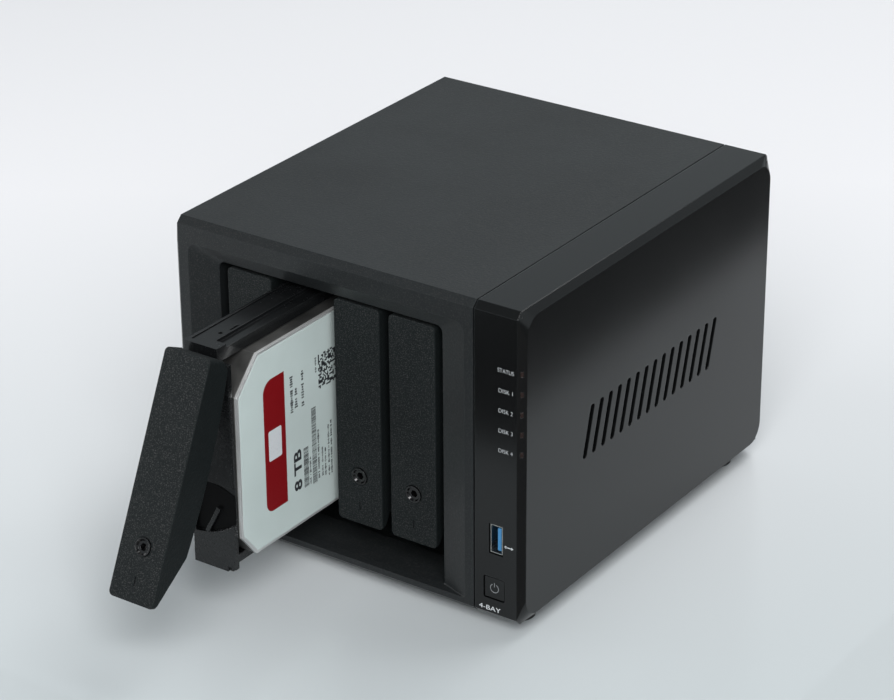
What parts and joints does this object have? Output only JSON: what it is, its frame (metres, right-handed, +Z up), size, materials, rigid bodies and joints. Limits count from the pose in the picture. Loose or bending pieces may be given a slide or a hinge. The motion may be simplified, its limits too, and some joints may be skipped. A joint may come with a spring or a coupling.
{
  "type": "network attached storage",
  "caption": "Desktop network storage box with swing-handle drive trays, one pulled out with its drive, and a control strip with button, port and lights.",
  "frame": {"origin": "on the table, under the middle of the case's footprint", "axes": "+Z up; +X to the right seen from the front; -Y is the front, where the trays pull out"},
  "size_m": [0.199, 0.3498, 0.166],
  "materials": {
    "shell_plastic": "fine-grained matt charcoal",
    "side_plastic": "fine-grained satin charcoal with glossy bevels",
    "handle_plastic": "coarse spark-eroded matt black",
    "tray_plastic": "semi-gloss black",
    "panel_steel": "black powder coat",
    "cage_steel": "dull zinc",
    "cast_aluminium": "dark cast",
    "lid_steel": "brushed",
    "label_print": "printed satin label",
    "board_green": "solder mask",
    "connector_plastic": "matt black",
    "port_steel": "bright nickel",
    "usb_blue": "satin blue",
    "sink_aluminium": "extruded",
    "fan_plastic": "satin black",
    "rubber": "matt",
    "screw_steel": "black oxide",
    "pin_steel": "bright",
    "lock_metal": "glossy black",
    "light_clear": "smoked clear"
  },
  "bodies": {
    "case": {"main_cover": "shell_plastic", "side_cover": "side_plastic", "rear_panel": "panel_steel", "cage_left_wall": "cage_steel", "cage_right_wall": "cage_steel", "upper_guide": "tray_plastic", "lower_guide": "tray_plastic", "backplane_board": "board_green", "drive_sockets": "connector_plastic", "main_board": "board_green", "heat_sink": "sink_aluminium", "memory_sockets": "connector_plastic", "memory_modules": "board_green", "lan_ports": "port_steel", "rear_usb_port": "port_steel", "esata_port": "connector_plastic", "power_jack": "connector_plastic", "front_board": "board_green", "front_usb_shield": "port_steel", "front_usb_tongue": "usb_blue", "light_pipes": "light_clear", "tact_switches": "connector_plastic", "fan_frames": "fan_plastic", "feet": "rubber", "slot_doors": "shell_plastic", "fan_screws": "screw_steel", "rear_screws": "screw_steel"},
    "fan_left": {"fan_rotor_left": "fan_plastic"},
    "fan_right": {"fan_rotor_right": "fan_plastic"},
    "power_button": {"power_button": "side_plastic"},
    "reset_button": {"reset_button": "connector_plastic"},
    "tray_1": {"tray_1_frame": "tray_plastic", "tray_1_panels": "tray_plastic", "tray_1_pin": "pin_steel", "drive_1_base": "cast_aluminium", "drive_1_lid": "lid_steel"},
    "handle_1": {"tray_1_handle": "handle_plastic"},
    "lock_1": {"tray_1_lock": "lock_metal"},
    "tray_2": {"tray_2_frame": "tray_plastic", "tray_2_panels": "tray_plastic", "tray_2_pin": "pin_steel", "drive_2_base": "cast_aluminium", "drive_2_lid": "lid_steel", "drive_2_label": "label_print"},
    "handle_2": {"tray_2_handle": "handle_plastic"},
    "lock_2": {"tray_2_lock": "lock_metal"},
    "tray_3": {"tray_3_frame": "tray_plastic", "tray_3_panels": "tray_plastic", "tray_3_pin": "pin_steel", "drive_3_base": "cast_aluminium", "drive_3_lid": "lid_steel"},
    "handle_3": {"tray_3_handle": "handle_plastic"},
    "lock_3": {"tray_3_lock": "lock_metal"},
    "tray_4": {"tray_4_frame": "tray_plastic", "tray_4_panels": "tray_plastic", "tray_4_pin": "pin_steel", "drive_4_base": "cast_aluminium", "drive_4_lid": "lid_steel"},
    "handle_4": {"tray_4_handle": "handle_plastic"},
    "lock_4": {"tray_4_lock": "lock_metal"}
  },
  "joints": [
    {"name": "tray_1_slide", "type": "slide", "parent": "case", "child": "tray_1", "axis": [0, -1, 0], "range_m": [0, 0.2]},
    {"name": "handle_1_hinge", "type": "hinge", "parent": "tray_1", "child": "handle_1", "pos_m": [-0.058, -0.1019, 0.1318], "axis": [-1, 0, 0], "range_deg": [0, 35]},
    {"name": "lock_1_turn", "type": "hinge", "parent": "handle_1", "child": "lock_1", "pos_m": [-0.058, -0.1065, 0.055], "axis": [0, -1, 0], "range_deg": [0, 90]},
    {"name": "tray_2_slide", "type": "slide", "parent": "case", "child": "tray_2", "axis": [0, -1, 0], "range_m": [-0.0889, 0.1111]},
    {"name": "handle_2_hinge", "type": "hinge", "parent": "tray_2", "child": "handle_2", "pos_m": [-0.0269, -0.1908, 0.1318], "axis": [-1, 0, 0], "range_deg": [-24.8, 10.2]},
    {"name": "lock_2_turn", "type": "hinge", "parent": "handle_2", "child": "lock_2", "pos_m": [-0.0269, -0.22719, 0.06401], "axis": [0, -0.9078, 0.4195], "range_deg": [0, 90]},
    {"name": "tray_3_slide", "type": "slide", "parent": "case", "child": "tray_3", "axis": [0, -1, 0], "range_m": [0, 0.2]},
    {"name": "handle_3_hinge", "type": "hinge", "parent": "tray_3", "child": "handle_3", "pos_m": [0.0042, -0.1019, 0.1318], "axis": [-1, 0, 0], "range_deg": [0, 35]},
    {"name": "lock_3_turn", "type": "hinge", "parent": "handle_3", "child": "lock_3", "pos_m": [0.0042, -0.1065, 0.055], "axis": [0, -1, 0], "range_deg": [0, 90]},
    {"name": "tray_4_slide", "type": "slide", "parent": "case", "child": "tray_4", "axis": [0, -1, 0], "range_m": [0, 0.2]},
    {"name": "handle_4_hinge", "type": "hinge", "parent": "tray_4", "child": "handle_4", "pos_m": [0.0353, -0.1019, 0.1318], "axis": [-1, 0, 0], "range_deg": [0, 35]},
    {"name": "lock_4_turn", "type": "hinge", "parent": "handle_4", "child": "lock_4", "pos_m": [0.0353, -0.1065, 0.055], "axis": [0, -1, 0], "range_deg": [0, 90]},
    {"name": "fan_left_spin", "type": "hinge", "parent": "case", "child": "fan_left", "pos_m": [-0.0468, 0.098, 0.11], "axis": [0, 1, 0], "continuous": true},
    {"name": "fan_right_spin", "type": "hinge", "parent": "case", "child": "fan_right", "pos_m": [0.0468, 0.098, 0.11], "axis": [0, 1, 0], "continuous": true},
    {"name": "power_button_press", "type": "slide", "parent": "case", "child": "power_button", "axis": [0, 1, 0], "range_m": [0, 0.001], "stiffness_N_per_m": 600, "springref_m": -0.0008},
    {"name": "reset_button_press", "type": "slide", "parent": "case", "child": "reset_button", "axis": [0, -1, 0], "range_m": [0, 0.0008], "stiffness_N_per_m": 500, "springref_m": -0.0006}
  ]
}
